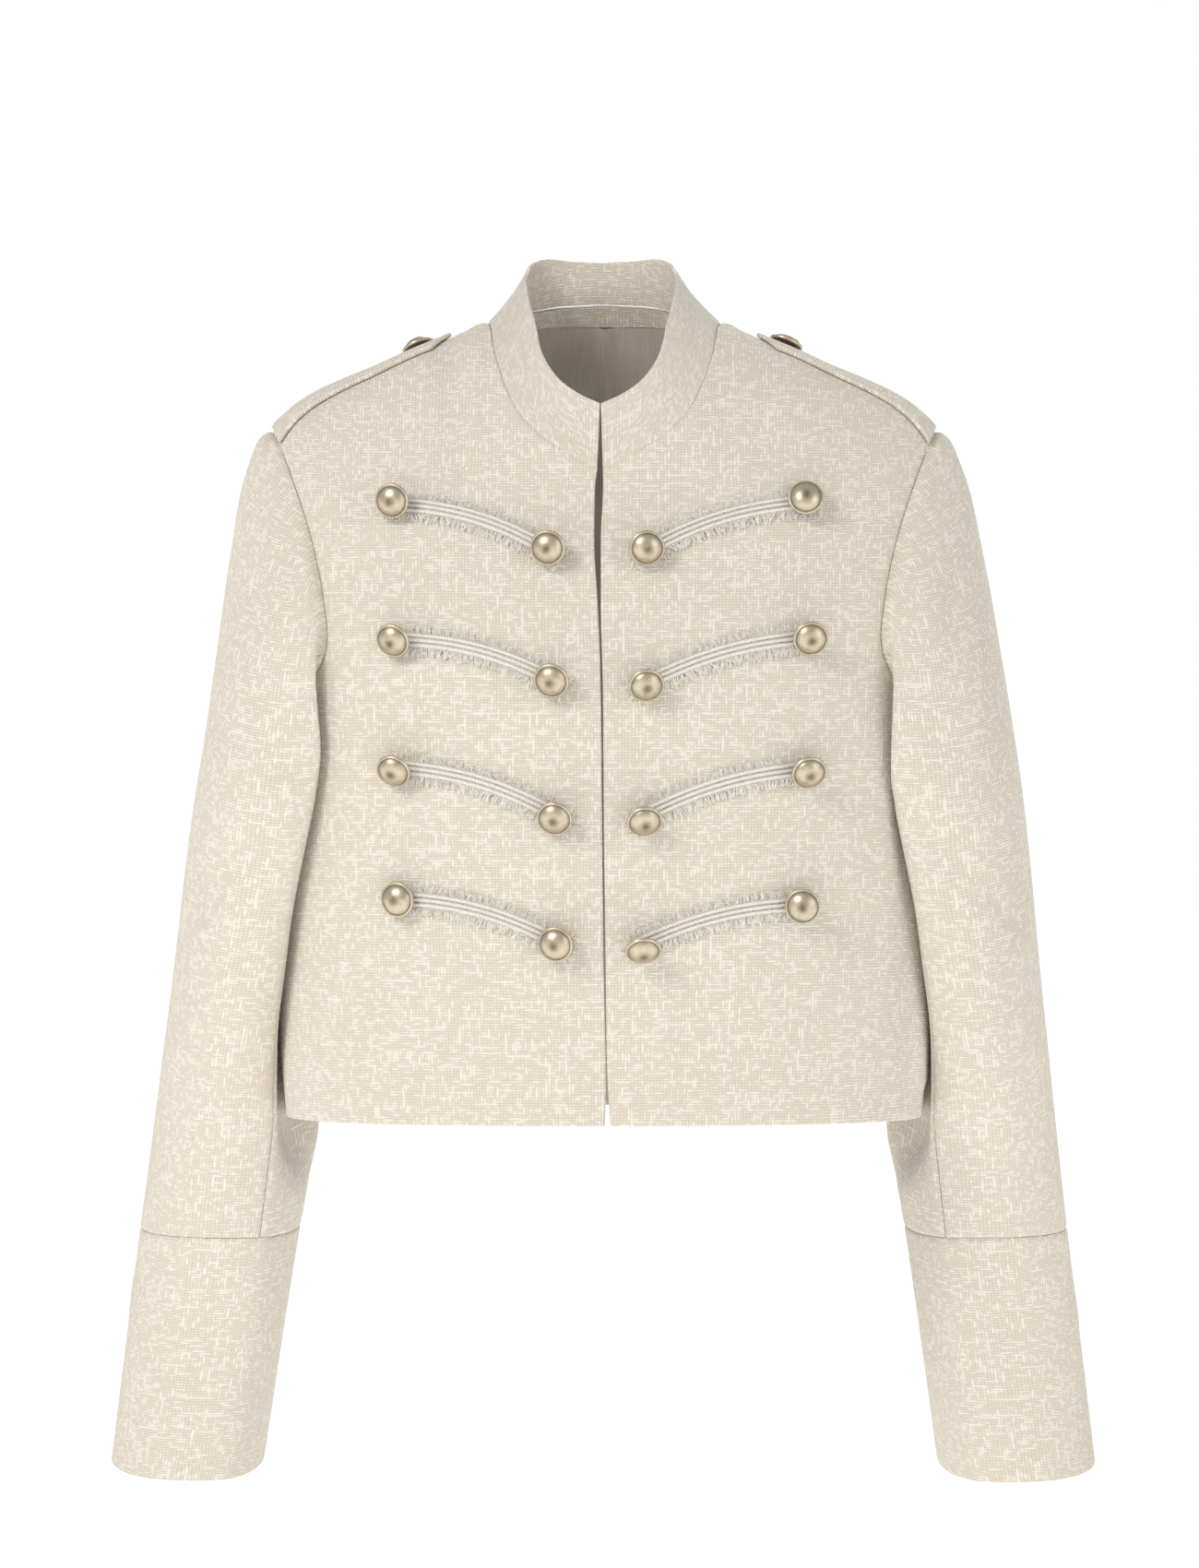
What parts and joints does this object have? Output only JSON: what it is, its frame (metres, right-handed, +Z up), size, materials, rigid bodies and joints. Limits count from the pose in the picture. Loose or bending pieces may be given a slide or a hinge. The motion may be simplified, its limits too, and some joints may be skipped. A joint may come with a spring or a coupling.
{
  "type": "tweed jacket",
  "caption": "Cropped cream tweed jacket with a stand collar, shoulder straps, edge-to-edge front, frayed braid trims and domed metal buttons, filled out as if worn.",
  "frame": {"origin": "the middle of the neck base, level with the highest points of the shoulders, where the wearer's shoulders hold the jacket up", "axes": "+Z up, the front faces -Y, +X is the wearer's left"},
  "size_m": [0.5819, 0.2868, 0.7133],
  "materials": {
    "tweed": "cream slubbed tweed, matt",
    "lining": "beige satin lining",
    "trim": "cream corded braid with frayed edges",
    "button": "antique pale gold, domed and softly polished"
  },
  "bodies": {
    "root": {"back": "tweed", "back_lining": "lining", "back_neck_facing": "tweed", "collar": "tweed", "left_front": "tweed", "left_upper_sleeve": "tweed", "left_under_sleeve": "tweed", "left_lower_sleeve": "tweed", "left_shoulder_strap": "tweed", "left_strap_button": "button", "left_trim_1": "trim", "left_trim_1_outer_button": "button", "left_trim_1_inner_button": "button", "left_trim_2": "trim", "left_trim_2_outer_button": "button", "left_trim_2_inner_button": "button", "left_trim_3": "trim", "left_trim_3_outer_button": "button", "left_trim_3_inner_button": "button", "left_trim_4": "trim", "left_trim_4_outer_button": "button", "left_trim_4_inner_button": "button", "right_front": "tweed", "right_upper_sleeve": "tweed", "right_under_sleeve": "tweed", "right_lower_sleeve": "tweed", "right_shoulder_strap": "tweed", "right_strap_button": "button", "right_trim_1": "trim", "right_trim_1_outer_button": "button", "right_trim_1_inner_button": "button", "right_trim_2": "trim", "right_trim_2_outer_button": "button", "right_trim_2_inner_button": "button", "right_trim_3": "trim", "right_trim_3_outer_button": "button", "right_trim_3_inner_button": "button", "right_trim_4": "trim", "right_trim_4_outer_button": "button", "right_trim_4_inner_button": "button"}
  },
  "joints": []
}
